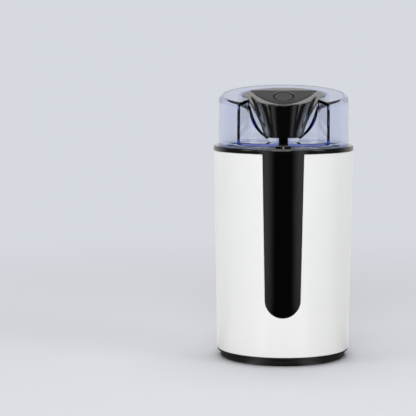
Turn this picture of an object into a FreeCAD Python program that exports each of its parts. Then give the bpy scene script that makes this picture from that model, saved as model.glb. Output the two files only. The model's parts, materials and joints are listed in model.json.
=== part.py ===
import FreeCAD, Part
import math
import os

Vector = FreeCAD.Vector

# Electric spice grinder, millimetres, +Z up, front of the grinder towards -Y.
# The origin is the centre of the circle on which the feet stand.

# Housing
SHELL_TOP_R = 48.75
SHELL_BOTTOM_R = 46.3
SHELL_H = 139.2
SHELL_WALL = 2.4
SHELL_EDGE_ROUND = 0.5
INLAY_TOP_W = 28.3
INLAY_END_R = 12.2
INLAY_LOW_END = 27.1
INLAY_FIT = 0.15
INLAY_RECESS = 0.7
INLAY_ROUND = 0.4
PEG_R = 1.6
PEG_FIT = 0.1
PEG_PITCH = 38.0
PEG_COUNT = 3
CHASSIS_GAP = 0.3
CHASSIS_WALL = 2.0
CHASSIS_LIFT = 11.0
DECK_T = 2.4
MOTOR_DECK_DEPTH = 41.8
MOTOR_DECK_T = 2.4
MOTOR_DECK_BORE_R = 10.5

# Base
BASE_SETBACK = 2.5
BASE_H = 5.8
BASE_WALL = 2.2
BASE_LIP_H = 1.2
BASE_LIP_STEP = 0.3
BASE_ROUND = 0.8
SPIGOT_FIT = 0.3
BASE_SPIGOT_WALL = 2.0
BASE_SPIGOT_H = 7.0
FOOT_R = 5.0
FOOT_PROJECTION = 0.8
FOOT_SOCKET = 1.2
FOOT_FIT = 0.05
FOOT_SETBACK = 8.3
FOOT_COUNT = 3
FOOT_ANGLE = 110.0
POST_R = 4.5
POST_SETBACK = 10.3
POST_COUNT = 3
POST_ANGLE = 50.0
POST_TOP_H = 14.0
BOSS_H = 26.0
WEB_T = 2.0
WEB_LIFT = 2.0
SCREW_R = 1.5
SCREW_HEAD_R = 2.8
SCREW_HEAD_H = 2.0
SCREW_FIT = 0.1
SCREW_BITE = 14.0
CROSS_W = 0.8
CROSS_DEPTH = 1.0
VENT_COUNT = 14
VENT_IN_R = 9.0
VENT_OUT_R = 25.0
VENT_W = 2.4

# Collar and its front block
COLLAR_OVERHANG = 0.25
COLLAR_H = 3.4
COLLAR_W = 5.6
COLLAR_ROUND = 1.2
COLLAR_FLANGE_W = 6.4
COLLAR_FLANGE_H = 1.2
COLLAR_PIN_R = 2.0
COLLAR_PIN_COUNT = 4
COLLAR_PIN_ANGLE = 45.0
COLLAR_SCREW_R = 1.1
COLLAR_SCREW_HEAD_R = 3.0
COLLAR_SCREW_HEAD_H = 1.6
FRONT_BLOCK_W = 32.8
FRONT_BLOCK_GAP = 0.3
FRONT_BLOCK_PIN_X = 11.5
KEY_W = 10.4
KEY_H = 2.2
KEY_SETBACK = 2.8
KEY_SLIT_W = 1.0
KEY_ROUND = 0.4
SLEEVE_WALL = 1.0
SLEEVE_GAP = 0.4

# Lid
LID_SETBACK = 3.4
LID_DRAFT = 0.4
LID_H = 34.9
LID_TILT = 7.5
LID_WALL = 2.2
LID_ROOF = 2.4
LID_EDGE_ROUND = 3.0
LID_INNER_ROUND = 1.4
LID_LEDGE_REACH = 1.5
LID_LEDGE_H = 1.8
LID_SPIGOT_H = 1.8
LID_SPIGOT_WALL = 2.0
LID_FIT = 0.3
NOTCH_HALF_FRONT = 30.3
NOTCH_HALF_BACK = 22.9
NOTCH_BACK_Y = -16.0
NOTCH_FLOOR_H = 3.5
NOTCH_FLOOR_T = 1.8
NOTCH_ROUND = 2.5
POCKET_WALL = 1.8
POCKET_GAP = 0.9
LID_KEY_FIT = 1.1

# Press button
BUTTON_TRAVEL = 2.6
BUTTON_LIFT = 3.6
BUTTON_R = 28.9
BUTTON_RIM_H = 1.6
BUTTON_RIM_STEP = 1.4
HORN_FOOT_HALF_W = 13.7
HORN_FOOT_HALF_D = 6.2
HORN_FOOT_Y = -22.0
HORN_POWER = 1.6
PROW_FOOT_HALF_W = 10.5
PROW_TOP_HALF_W = 20.0
PROW_FOOT_OUT = 1.5
PROW_TOP_Y = -38.8
PROW_POWER = 1.3
FLANK_FOOT_Y = -27.0
FLANK_TOP_Y = -6.5
FLANK_POWER = 1.5
FLANK_RUN_OUT = 0.25
PROW_BACK_SHARE = 0.8
# points of the front's half: share of its half width, and share of the way back to the flank
PROW_SIDE = [(0.4, 0.0), (0.7, 0.05), (0.95, 0.4), (1.05, 0.75), (1.15, 1.0)]
HORN_POINTS = 24
LOFT_SHARES = [0.0, 0.2, 0.4, 0.6, 0.8, 1.0]
SCOOP_R = 43.3
SCOOP_DEPTH = 5.1
SCOOP_BACK_Y = 17.0
SCOOP_SLOPE = 25.0
DISC_R = 7.1
DISC_T = 0.8
DISC_FIT = 0.1
DISC_Y = 8.9
TONGUE_W = 6.3
TONGUE_T = 2.2
TONGUE_SETBACK = 4.3
TONGUE_BELOW_KEY = 0.5
GUIDE_Y = -22.5
GUIDE_R = 4.6
GUIDE_H = 10.3
GUIDE_POST_R = 2.2
GUIDE_FIT = 0.1
GUIDE_CAVITY_R = 5.4
BUTTON_SPRING_H = 10.0
BUTTON_SPRING_R = 3.4
BUTTON_SPRING_WIRE_R = 0.35
BUTTON_SPRING_TURNS = 5
RETAINER_R = 4.2
RETAINER_T = 1.0
RETAINER_HEAD_R = 2.6
RETAINER_HEAD_H = 1.4
RETAINER_SCREW_R = 1.1
RETAINER_SCREW_L = 8.0

# Bowl and blade
BOWL_COLLAR_GAP = 0.7
BOWL_WALL = 0.8
BOWL_LIP_H = 3.6
BOWL_LIP_W = 2.1
BOWL_FLANGE_W = 1.9
BOWL_DEPTH = 35.6
BOWL_CORNER_R = 9.0
BOWL_DECK_FIT = 0.9
GASKET_T = 0.8
SEAL_R = 6.2
SEAL_FLANGE_R = 8.0
SEAL_FLANGE_T = 1.2
SEAL_BELOW = 2.4
HUB_R = 6.5
HUB_H = 3.0
HUB_GAP = 0.4
BLADE_REACH = 26.0
BLADE_FLAT = 14.0
BLADE_W = 11.0
BLADE_TIP_W = 7.0
BLADE_T = 1.2
BLADE_BEND = 20.0
BLADE_LOW_BEND = 10.0
BLADE_LAP = 0.3
BLADE_EYE_R = 7.5
NUT_R = 5.4
NUT_H = 4.6
NUT_CROWN = 1.2
NUT_ACROSS_FLATS = 9.5
NUT_SIDES = 6

# Motor
SHAFT_R = 2.5
SHAFT_FIT = 0.05
SHAFT_END_GAP = 1.0
SHAFT_TOP_GAP = 0.2
BUSH_R = 5.5
BUSH_H = 6.0
HOUSING_R = 8.0
DAMPER_H = 5.5
DAMPER_R = 4.0
DAMPER_X = 33.5
BRACKET_T = 2.5
BRACKET_HALF_W = 8.0
BRACKET_END = 4.5
MOTOR_SCREW_R = 1.5
MOTOR_SCREW_HEAD_R = 2.8
MOTOR_SCREW_HEAD_H = 1.6
BOLT_X = 25.0
BOLT_R = 1.5
BOLT_HEAD_R = 2.8
BOLT_HEAD_H = 1.8
MOTOR_L = 69.0
STACK_H = 24.0
STACK_BELOW_TOP = 20.0
STACK_HALF_X = 28.5
STACK_HALF_Y = 25.0
STACK_CORNER_R = 8.0
YOKE_R = 22.0
POLE_R = 15.6
POLE_HALF_ANGLE = 30.0
COIL_HALF_ANGLE = 56.0
COIL_GAP = 0.3
COIL_GAP_ANGLE = 1.0
COIL_R_IN = 16.6
COIL_OVERHANG = 4.5
AIR_GAP = 0.6
ROTOR_SLOTS = 12
ROTOR_SLOT_W = 2.0
ROTOR_SLOT_DEPTH = 7.0
WINDING_R = 12.6
WINDING_H = 5.5
WINDING_GAP = 0.1
COMMUTATOR_R = 8.5
COMMUTATOR_H = 10.0
COMMUTATOR_RISE = 4.0
COMMUTATOR_BARS = 16
BAR_SLOT_W = 0.5
BAR_SLOT_DEPTH = 0.9
BRUSH_GAP = 0.2
BRUSH_L = 8.0
BRUSH_HALF_W = 2.5
BRUSH_HALF_H = 3.0
BRUSH_FIT = 0.15
HOLDER_WALL = 1.0
HOLDER_GAP = 1.0
HOLDER_END_X = 22.4
BRUSH_SPRING_R = 1.9
BRUSH_SPRING_WIRE_R = 0.25
BRUSH_SPRING_TURNS = 4
FAN_R = 20.0
FAN_HUB_R = 6.0
FAN_PLATE_T = 1.2
FAN_H = 7.0
FAN_BLADES = 9
FAN_BLADE_T = 1.2
FAN_BLADE_INSET = 0.2
FAN_BELOW_BRACKET = 5.0
CUTOUT_W = 12.0
CUTOUT_T = 4.0
CUTOUT_H = 16.0
CUTOUT_ROUND = 0.8

# Switch
PLUNGER_GAP = 0.3
PLUNGER_FIT = 0.1
PLUNGER_HEAD_L = 13.0
PLUNGER_ROD_R = 1.0
TOWER_R = 3.0
TOWER_H = 11.6
PLUNGER_SPRING_R = 1.95
PLUNGER_SPRING_WIRE_R = 0.22
PLUNGER_SPRING_TURNS = 7
LEVER_ARM = 11.4
LEVER_END = 15.4
LEVER_REST = 14.0
LEVER_W = 4.8
LEVER_T = 0.4
LEVER_GAP = 0.15
LEVER_DROP = 1.7
LEVER_EYE_R = 0.8
LEVER_PIN_R = 0.4
SWITCH_L = 19.8
SWITCH_H = 10.2
SWITCH_T = 6.4
SWITCH_BEHIND_PLUNGER = 1.7
SWITCH_PIVOT_IN = 2.0
SWITCH_TOP_GAP = 1.0
SWITCH_PIN_X = 5.0
SWITCH_PIN_R = 0.8
SWITCH_PIN_FIT = 0.05
SWITCH_PIN_SINK = 2.5
SWITCH_HOLE_R = 1.2
SWITCH_HOLE_PITCH = 9.5
SWITCH_HOLE_UP = 3.0
SWITCH_SCREW_HEAD_R = 2.0
SWITCH_SCREW_HEAD_H = 1.0
TERMINAL_W = 3.2
TERMINAL_T = 0.6
TERMINAL_L = 5.0
TERMINAL_IN = 3.0
SWITCH_BRACKET_T = 1.8
SWITCH_FLANGE_D = 8.0
SWITCH_FLANGE_HALF_W = 8.0
BRACKET_SCREW_X = 5.0

# Electrical parts on the base
GLAND_H = 15.4
GLAND_NECK_R = 4.8
GLAND_FLANGE_R = 7.0
GLAND_FLANGE_T = 1.0
GLAND_FLUSH = 0.6
GLAND_BORE_R = 3.4
GLAND_INSIDE = 3.0
GLAND_FIT = 0.1
GLAND_CLIP_R = 6.2
GLAND_CLIP_GAP = 1.2
TERMINAL_BLOCK_L = 20.0
TERMINAL_BLOCK_D = 10.0
TERMINAL_BLOCK_H = 9.0
TERMINAL_BLOCK_FRONT_Y = 14.0
TERMINAL_BLOCK_WAYS = 4
TERMINAL_BLOCK_SCREW_R = 1.3
CAPACITOR_L = 18.0
CAPACITOR_D = 8.5
CAPACITOR_H = 14.0
CAPACITOR_Y = -15.0
CAPACITOR_ROUND = 1.0

# Levels worked out from the sizes above
COVER_Z = FOOT_PROJECTION
BASE_R = SHELL_BOTTOM_R - BASE_SETBACK
FOOT_CIRCLE_R = BASE_R - FOOT_SETBACK
POST_CIRCLE_R = SHELL_BOTTOM_R - POST_SETBACK
SHELL_Z = COVER_Z + BASE_H
FLOOR_Z = COVER_Z + BASE_WALL
DECK_Z = SHELL_Z + SHELL_H
COLLAR_Z = DECK_Z + COLLAR_H
COLLAR_R = SHELL_TOP_R + COLLAR_OVERHANG
COLLAR_IN_R = COLLAR_R - COLLAR_W
FLANGE_IN_R = COLLAR_IN_R - COLLAR_FLANGE_W
COLLAR_PIN_CIRCLE_R = (FLANGE_IN_R + COLLAR_IN_R) / 2
KEY_FRONT_R = COLLAR_R - KEY_SETBACK
TONGUE_Y = TONGUE_SETBACK - COLLAR_IN_R
PROW_FOOT_Y = TONGUE_Y - PROW_FOOT_OUT
LID_R = COLLAR_R - LID_SETBACK
LID_SPIGOT_R = COLLAR_IN_R - LID_FIT
LID_LEDGE_R = LID_SPIGOT_R - LID_SPIGOT_WALL - LID_LEDGE_REACH
LID_TOP_Z = COLLAR_Z + LID_H
LID_TAN = math.tan(math.radians(LID_TILT))
NOTCH_FLOOR_Z = COLLAR_Z + NOTCH_FLOOR_H
BUTTON_FOOT_Z = NOTCH_FLOOR_Z + BUTTON_LIFT
KEY_TOP_Z = COLLAR_Z + KEY_H
TONGUE_Z = KEY_TOP_Z - TONGUE_BELOW_KEY
PLUNGER_TOP_Z = TONGUE_Z - PLUNGER_GAP
PLUNGER_SHOULDER_Z = PLUNGER_TOP_Z - PLUNGER_HEAD_L
SLEEVE_Z = PLUNGER_SHOULDER_Z + SLEEVE_GAP
MOTOR_DECK_Z = DECK_Z - MOTOR_DECK_DEPTH
MOTOR_DECK_TOP = MOTOR_DECK_Z + MOTOR_DECK_T
TOWER_Z = MOTOR_DECK_TOP + TOWER_H
BOSS_Z = FLOOR_Z + POST_TOP_H - BASE_WALL
BOWL_RIM_Z = DECK_Z + BOWL_LIP_H
BOWL_BOTTOM_Z = BOWL_RIM_Z - BOWL_DEPTH - BOWL_WALL
BOWL_FLOOR_Z = BOWL_BOTTOM_Z + BOWL_WALL
BOWL_FLANGE_R = FLANGE_IN_R - BOWL_COLLAR_GAP
BOWL_LIP_R = BOWL_FLANGE_R - BOWL_FLANGE_W
BOWL_OUT_R = BOWL_LIP_R - BOWL_LIP_W
BOWL_R = BOWL_OUT_R - BOWL_WALL
HUB_Z = BOWL_FLOOR_Z + SEAL_FLANGE_T + HUB_GAP
BLADE_Z = HUB_Z + HUB_H
NUT_Z = BLADE_Z + BLADE_T
BRACKET_TOP_Z = MOTOR_DECK_Z - DAMPER_H
UPPER_Z = BRACKET_TOP_Z - BRACKET_T
LOWER_TOP_Z = UPPER_Z - MOTOR_L
LOWER_Z = LOWER_TOP_Z - BRACKET_T
STACK_Z = UPPER_Z - STACK_BELOW_TOP - STACK_H
STACK_TOP_Z = STACK_Z + STACK_H
COMMUTATOR_Z = LOWER_TOP_Z + COMMUTATOR_RISE
BRUSH_Z = COMMUTATOR_Z + COMMUTATOR_H / 2
FAN_Z = UPPER_Z - FAN_BELOW_BRACKET - FAN_H
SHAFT_Z = LOWER_TOP_Z - BRACKET_T - BUSH_H + SHAFT_END_GAP
LEVER_TIP_Z = MOTOR_DECK_Z - LEVER_DROP
LEVER_RISE = LEVER_ARM * math.tan(math.radians(LEVER_REST))
PIVOT_Z = LEVER_TIP_Z - LEVER_GAP - LEVER_RISE - LEVER_T
SWITCH_TOP_Z = PIVOT_Z - SWITCH_TOP_GAP
SWITCH_Z = SWITCH_TOP_Z - SWITCH_H
SWITCH_MID_Y = TONGUE_Y + SWITCH_BEHIND_PLUNGER
SWITCH_BACK_Y = SWITCH_MID_Y + SWITCH_T / 2
SWITCH_X = -LEVER_ARM - SWITCH_PIVOT_IN
GLAND_Z = SHELL_Z + GLAND_H

# Cuts run EXTRA past a face, or OVERRUN where little room is left, and joined pieces
# enter each other by OVERRUN. Edges within TOUCH of a level lie on it.
EXTRA = 5.0
OVERRUN = 1.0
TOUCH = 0.01


def shell_r(z):
    return SHELL_BOTTOM_R + (SHELL_TOP_R - SHELL_BOTTOM_R) * (z - SHELL_Z) / SHELL_H


def shell_inner_r(z):
    return shell_r(z) - SHELL_WALL


def chassis_r(z):
    return shell_inner_r(z) - CHASSIS_GAP


def chassis_inner_r(z):
    return chassis_r(z) - CHASSIS_WALL


def inlay_r(z):
    return shell_r(z) - INLAY_RECESS


def lid_r(z):
    return LID_R - LID_DRAFT * (z - COLLAR_Z) / LID_H


def lid_inner_r(z):
    return lid_r(z) - LID_WALL


def taper(radius, z0, z1):
    """Solid of revolution about Z whose radius is radius(z)."""
    return turned([(0, z0), (radius(z0), z0), (radius(z1), z1), (0, z1)])


def turned(points):
    """Closed (r, z) outline turned once about Z."""
    corners = [Vector(r, 0, z) for r, z in points]
    face = Part.Face(Part.makePolygon(corners + corners[:1]))
    return face.revolve(Vector(0, 0, 0), Vector(0, 0, 1), 360)


def disc(r, z0, z1, x=0.0, y=0.0):
    return Part.makeCylinder(r, z1 - z0, Vector(x, y, z0))


def ring(r_in, r_out, z0, z1, x=0.0, y=0.0):
    return disc(r_out, z0, z1, x, y).cut(disc(r_in, z0 - EXTRA, z1 + EXTRA, x, y))


def rod_y(r, x, z, y0, y1):
    return Part.makeCylinder(r, y1 - y0, Vector(x, y0, z), Vector(0, 1, 0))


def rod_x(r, y, z, x0, x1):
    return Part.makeCylinder(r, x1 - x0, Vector(x0, y, z), Vector(1, 0, 0))


def block(x0, x1, y0, y1, z0, z1):
    return Part.makeBox(x1 - x0, y1 - y0, z1 - z0, Vector(x0, y0, z0))


def prism(points, z0, z1):
    corners = [Vector(x, y, z0) for x, y in points]
    face = Part.Face(Part.makePolygon(corners + corners[:1]))
    return face.extrude(Vector(0, 0, z1 - z0))


def joined(shapes):
    body = shapes[0]
    for shape in shapes[1:]:
        body = body.fuse(shape)
    return body


def without(shape, tools):
    for tool in tools:
        shape = shape.cut(tool)
    return shape


def rounded(shape, radius, wanted):
    """Rounds the edges for which wanted(edge's box) is true."""
    edges = [edge for edge in shape.Edges if wanted(edge.BoundBox)]
    return shape.makeFillet(radius, edges)


def around(count, first_angle, circle_r):
    """Points evenly spaced on a circle about Z."""
    for i in range(count):
        angle = math.radians(first_angle + 360.0 * i / count)
        yield circle_r * math.cos(angle), circle_r * math.sin(angle)


def turned_copies(shape, count):
    copies = []
    for i in range(count):
        copy = shape.copy()
        copy.rotate(Vector(0, 0, 0), Vector(0, 0, 1), 360.0 * i / count)
        copies.append(copy)
    return copies


def mirrored_pair(shape):
    """The shape and its mirror image across X = 0, as separate solids."""
    return Part.makeCompound([shape, shape.mirror(Vector(0, 0, 0), Vector(1, 0, 0))])


def sector(r_in, r_out, middle, half_angle, z0, z1):
    """Part of a ring, centred on the direction middle (degrees from +X)."""
    wedge = Part.makeCylinder(r_out, z1 - z0, Vector(0, 0, z0), Vector(0, 0, 1), 2 * half_angle)
    wedge.rotate(Vector(0, 0, 0), Vector(0, 0, 1), middle - half_angle)
    return wedge.cut(disc(r_in, z0 - EXTRA, z1 + EXTRA))


def coil_spring(coil_r, wire_r, z0, z1, turns, x=0.0, y=0.0):
    """Round wire wound about a vertical line, between two levels."""
    height = z1 - z0 - 2 * wire_r
    helix = Part.makeHelix(height / turns, height, coil_r)
    section = Part.Wire(Part.makeCircle(wire_r, Vector(coil_r, 0, 0), Vector(0, 1, 0)))
    wire = Part.Wire(helix.Edges).makePipeShell([section], True, True)
    wire.translate(Vector(x, y, z0 + wire_r))
    return wire


def tilted(shape):
    """Turns a shape built level so that it follows the lid's sloping top."""
    shape = shape.copy()
    shape.rotate(Vector(0, 0, LID_TOP_Z), Vector(1, 0, 0), LID_TILT)
    return shape


def above_lid_top(drop):
    """Everything above the sloping plane that lies drop under the lid's top."""
    size = 4 * LID_R
    return tilted(block(-size, size, -size, size, LID_TOP_Z - drop, LID_TOP_Z + size))


def inlay_prism(clearance):
    """U-shaped slot outline, square to the front, from the axis outwards."""
    top = DECK_Z + EXTRA
    centre_z = SHELL_Z + INLAY_LOW_END + INLAY_END_R
    end_r = INLAY_END_R - clearance
    half_top = INLAY_TOP_W / 2 - clearance
    lean = math.atan2(top - centre_z, half_top)
    tangent = lean - math.acos(end_r / math.hypot(half_top, top - centre_z))
    side_x = end_r * math.cos(tangent)
    side_z = centre_z + end_r * math.sin(tangent)
    corners = [Vector(-half_top, 0, top), Vector(-side_x, 0, side_z),
               Vector(side_x, 0, side_z), Vector(half_top, 0, top)]
    edges = [
        Part.LineSegment(corners[0], corners[1]).toShape(),
        Part.Arc(corners[1], Vector(0, 0, centre_z - end_r), corners[2]).toShape(),
        Part.LineSegment(corners[2], corners[3]).toShape(),
        Part.LineSegment(corners[3], corners[0]).toShape(),
    ]
    return Part.Face(Part.Wire(edges)).extrude(Vector(0, -2 * SHELL_TOP_R, 0))


def peg_levels():
    first = SHELL_Z + INLAY_LOW_END + INLAY_END_R
    return [first + i * PEG_PITCH for i in range(PEG_COUNT)]


def gland_hole(clearance):
    return rod_y(GLAND_NECK_R + clearance, 0, GLAND_Z, 0, 2 * SHELL_TOP_R)


def gland_seat_y():
    return shell_r(GLAND_Z) - GLAND_FLUSH - GLAND_FLANGE_T


def outer_shell():
    wall = taper(shell_r, SHELL_Z, DECK_Z)
    wall = wall.cut(taper(shell_inner_r, SHELL_Z - EXTRA, DECK_Z + EXTRA))
    wall = wall.cut(inlay_prism(0))
    wall = rounded(wall, SHELL_EDGE_ROUND, is_slot_edge)
    seat = rod_y(GLAND_FLANGE_R + GLAND_FIT, 0, GLAND_Z, gland_seat_y(), 2 * SHELL_TOP_R)
    return without(wall, [gland_hole(GLAND_FIT), seat])


def is_slot_edge(box):
    """Outer edges of the front slot, which lie on the shell's outside."""
    on_front = box.YMax < 0 and max(box.XMax, -box.XMin) < INLAY_TOP_W / 2 + OVERRUN
    reach = math.hypot(max(abs(box.XMin), abs(box.XMax)), box.YMin)
    return on_front and box.ZLength > OVERRUN and reach > shell_r(box.ZMin) - SHELL_WALL / 2


def front_inlay():
    strip = taper(inlay_r, SHELL_Z, DECK_Z).cut(taper(shell_inner_r, SHELL_Z - EXTRA, DECK_Z + EXTRA))
    strip = strip.common(inlay_prism(INLAY_FIT))
    strip = rounded(strip, INLAY_ROUND, is_strip_edge)
    pegs = [rod_y(PEG_R, 0, z, -shell_r(z) + SHELL_WALL / 2, -chassis_inner_r(z)) for z in peg_levels()]
    return joined([strip] + pegs)


def is_strip_edge(box):
    """Outer long edges and round end of the inlay's face."""
    reach = math.hypot(max(abs(box.XMin), abs(box.XMax)), box.YMin)
    return box.ZLength > OVERRUN and reach > shell_r(box.ZMin) - SHELL_WALL / 2


def sleeve_outline(clearance):
    """Plan of the plunger sleeve that passes down through the deck."""
    half_x = TONGUE_W / 2 + PLUNGER_FIT + SLEEVE_WALL + clearance
    half_y = TONGUE_T / 2 + PLUNGER_FIT + SLEEVE_WALL + clearance
    return [(-half_x, TONGUE_Y - half_y), (half_x, TONGUE_Y - half_y),
            (half_x, TONGUE_Y + half_y), (-half_x, TONGUE_Y + half_y)]


def collar_pin_points():
    side_y = -math.sqrt(COLLAR_PIN_CIRCLE_R ** 2 - FRONT_BLOCK_PIN_X ** 2)
    ring_pins = list(around(COLLAR_PIN_COUNT, COLLAR_PIN_ANGLE, COLLAR_PIN_CIRCLE_R))
    return ring_pins, [(-FRONT_BLOCK_PIN_X, side_y), (FRONT_BLOCK_PIN_X, side_y)]


def inner_chassis():
    lower = SHELL_Z + CHASSIS_LIFT
    tube = taper(chassis_r, lower, DECK_Z).cut(taper(chassis_inner_r, lower - EXTRA, DECK_Z - DECK_T))
    deck_bore = disc(BOWL_OUT_R + BOWL_DECK_FIT, DECK_Z - DECK_T - EXTRA, DECK_Z + EXTRA)
    motor_deck = taper(chassis_inner_r, MOTOR_DECK_Z, MOTOR_DECK_TOP)
    tower = disc(TOWER_R, MOTOR_DECK_Z, TOWER_Z, 0, TONGUE_Y)
    bosses = []
    for x, y in around(POST_COUNT, POST_ANGLE, POST_CIRCLE_R):
        angle = math.degrees(math.atan2(y, x))
        reach = chassis_r(lower) - POST_CIRCLE_R - CHASSIS_WALL / 2
        web = block(0, reach, -WEB_T / 2, WEB_T / 2, BOSS_Z + WEB_LIFT, BOSS_Z + BOSS_H)
        web.translate(Vector(POST_CIRCLE_R, 0, 0))
        web.rotate(Vector(0, 0, 0), Vector(0, 0, 1), angle)
        bosses += [disc(POST_R, BOSS_Z, BOSS_Z + BOSS_H, x, y), web]
    body = joined([tube.cut(deck_bore), motor_deck, tower] + bosses)
    pilots = [disc(SCREW_R + SCREW_FIT, BOSS_Z - EXTRA, BOSS_Z + SCREW_BITE + OVERRUN, x, y)
              for x, y in around(POST_COUNT, POST_ANGLE, POST_CIRCLE_R)]
    ring_pins, block_pins = collar_pin_points()
    pins = [disc(COLLAR_PIN_R + PEG_FIT, DECK_Z - DECK_T - EXTRA, DECK_Z + EXTRA, x, y)
            for x, y in ring_pins + block_pins]
    pegs = [rod_y(PEG_R + PEG_FIT, 0, z, -2 * SHELL_TOP_R, -POST_CIRCLE_R) for z in peg_levels()]
    mounts = [disc(MOTOR_SCREW_R + SCREW_FIT, MOTOR_DECK_Z - OVERRUN, MOTOR_DECK_TOP + OVERRUN,
                   side * DAMPER_X, 0)
              for side in (-1, 1)]
    flange_y = SWITCH_BACK_Y + SWITCH_BRACKET_T + SWITCH_FLANGE_D / 2
    bracket = [disc(SWITCH_HOLE_R + SCREW_FIT, MOTOR_DECK_Z - OVERRUN, MOTOR_DECK_TOP + OVERRUN,
                    side * BRACKET_SCREW_X, flange_y) for side in (-1, 1)]
    openings = [
        disc(MOTOR_DECK_BORE_R, MOTOR_DECK_Z - EXTRA, MOTOR_DECK_TOP + EXTRA),
        disc(PLUNGER_ROD_R + PLUNGER_FIT, MOTOR_DECK_Z - EXTRA, TOWER_Z + EXTRA, 0, TONGUE_Y),
        prism(sleeve_outline(SPIGOT_FIT), DECK_Z - DECK_T - EXTRA, DECK_Z + EXTRA),
        gland_hole(GLAND_FIT),
    ]
    return without(body, pilots + pins + pegs + mounts + bracket + openings)


def collar_profile_ring():
    """Whole collar ring with its rounded shoulder and its low inner flange."""
    body = ring(COLLAR_IN_R, COLLAR_R, DECK_Z, COLLAR_Z)
    body = rounded(body, COLLAR_ROUND, is_collar_shoulder)
    flange = ring(FLANGE_IN_R, COLLAR_IN_R + OVERRUN, DECK_Z, DECK_Z + COLLAR_FLANGE_H)
    return body.fuse(flange).removeSplitter()


def is_collar_shoulder(box):
    return box.ZMin > COLLAR_Z - TOUCH and box.XMax > COLLAR_R - TOUCH


def front_slice(half_w):
    return block(-half_w, half_w, -2 * COLLAR_R, -BOWL_R / 2, DECK_Z - EXTRA, COLLAR_Z + EXTRA)


def with_pins(body, points):
    """Adds downward pins that fill the deck's holes, with pilot holes for screws."""
    low = DECK_Z - DECK_T + PEG_FIT
    body = joined([body] + [disc(COLLAR_PIN_R, low, DECK_Z + COLLAR_FLANGE_H / 2, x, y) for x, y in points])
    top = DECK_Z + COLLAR_FLANGE_H - PEG_FIT
    return without(body, [disc(COLLAR_SCREW_R + SCREW_FIT / 2, low - EXTRA, top, x, y) for x, y in points])


def top_collar():
    body = collar_profile_ring().cut(front_slice(FRONT_BLOCK_W / 2 + FRONT_BLOCK_GAP))
    return with_pins(body, collar_pin_points()[0])


def collar_front_block():
    body = collar_profile_ring().common(front_slice(FRONT_BLOCK_W / 2))
    half_x = TONGUE_W / 2 + PLUNGER_FIT
    half_y = TONGUE_T / 2 + PLUNGER_FIT
    inner_y = TONGUE_Y + half_y + SLEEVE_WALL
    key = block(-KEY_W / 2, KEY_W / 2, -KEY_FRONT_R, inner_y, DECK_Z + COLLAR_FLANGE_H / 2, KEY_TOP_Z)
    key = rounded(key, KEY_ROUND, is_key_edge)
    sleeve = prism(sleeve_outline(0), SLEEVE_Z, COLLAR_Z)
    body = joined([body, key, sleeve])
    bore = block(-half_x, half_x, TONGUE_Y - half_y, TONGUE_Y + half_y, SLEEVE_Z - EXTRA,
                 KEY_TOP_Z + OVERRUN)
    slit = block(-KEY_SLIT_W / 2, KEY_SLIT_W / 2, -KEY_FRONT_R - OVERRUN, TONGUE_Y, COLLAR_Z,
                 KEY_TOP_Z + OVERRUN)
    return with_pins(without(body, [bore, slit]), collar_pin_points()[1])


def is_key_edge(box):
    return box.ZMin > KEY_TOP_Z - TOUCH


def collar_screws():
    head_top = DECK_Z - DECK_T
    screws = []
    for x, y in collar_pin_points()[0] + collar_pin_points()[1]:
        shank = disc(COLLAR_SCREW_R, head_top, DECK_Z + COLLAR_FLANGE_H / 2, x, y)
        head = disc(COLLAR_SCREW_HEAD_R, head_top - COLLAR_SCREW_HEAD_H, head_top, x, y)
        screws.append(shank.fuse(head))
    return Part.makeCompound(screws)


def base_cover():
    skirt = disc(BASE_R, COVER_Z, SHELL_Z)
    skirt = rounded(skirt, BASE_ROUND, is_base_edge)
    lip = disc(SHELL_BOTTOM_R - BASE_LIP_STEP, SHELL_Z - BASE_LIP_H, SHELL_Z)
    inside_r = shell_inner_r(SHELL_Z) - SPIGOT_FIT
    spigot = disc(inside_r, SHELL_Z - BASE_LIP_H, SHELL_Z + BASE_SPIGOT_H)
    body = joined([skirt, lip, spigot])
    hollow_r = min(inside_r - BASE_SPIGOT_WALL, BASE_R - BASE_WALL)
    body = body.cut(disc(hollow_r, FLOOR_Z, SHELL_Z + BASE_SPIGOT_H + EXTRA))
    posts = [disc(POST_R, COVER_Z + BASE_WALL / 2, BOSS_Z, x, y)
             for x, y in around(POST_COUNT, POST_ANGLE, POST_CIRCLE_R)]
    body = joined([body] + posts)
    tools = []
    for x, y in around(POST_COUNT, POST_ANGLE, POST_CIRCLE_R):
        tools.append(disc(SCREW_R + SCREW_FIT, 0, BOSS_Z + EXTRA, x, y))
        tools.append(disc(SCREW_HEAD_R + SCREW_FIT, 0, FLOOR_Z + SCREW_HEAD_H, x, y))
    for x, y in around(FOOT_COUNT, FOOT_ANGLE, FOOT_CIRCLE_R):
        tools.append(disc(FOOT_R, 0, COVER_Z + FOOT_SOCKET, x, y))
    slot = block(VENT_IN_R, VENT_OUT_R, -VENT_W / 2, VENT_W / 2, 0, FLOOR_Z + OVERRUN)
    return without(body, tools + turned_copies(slot, VENT_COUNT))


def is_base_edge(box):
    return box.ZMax < COVER_Z + TOUCH and box.XMax > BASE_R - TOUCH


def base_screws():
    screws = []
    seat = FLOOR_Z + SCREW_HEAD_H
    for x, y in around(POST_COUNT, POST_ANGLE, POST_CIRCLE_R):
        shank = disc(SCREW_R, seat, BOSS_Z + SCREW_BITE, x, y)
        head = disc(SCREW_HEAD_R, seat - SCREW_HEAD_H, seat, x, y)
        low = seat - SCREW_HEAD_H
        high = low + CROSS_DEPTH
        cross = [block(x - SCREW_R, x + SCREW_R, y - CROSS_W / 2, y + CROSS_W / 2, low, high),
                 block(x - CROSS_W / 2, x + CROSS_W / 2, y - SCREW_R, y + SCREW_R, low, high)]
        screws.append(without(shank.fuse(head), cross))
    return Part.makeCompound(screws)


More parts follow.
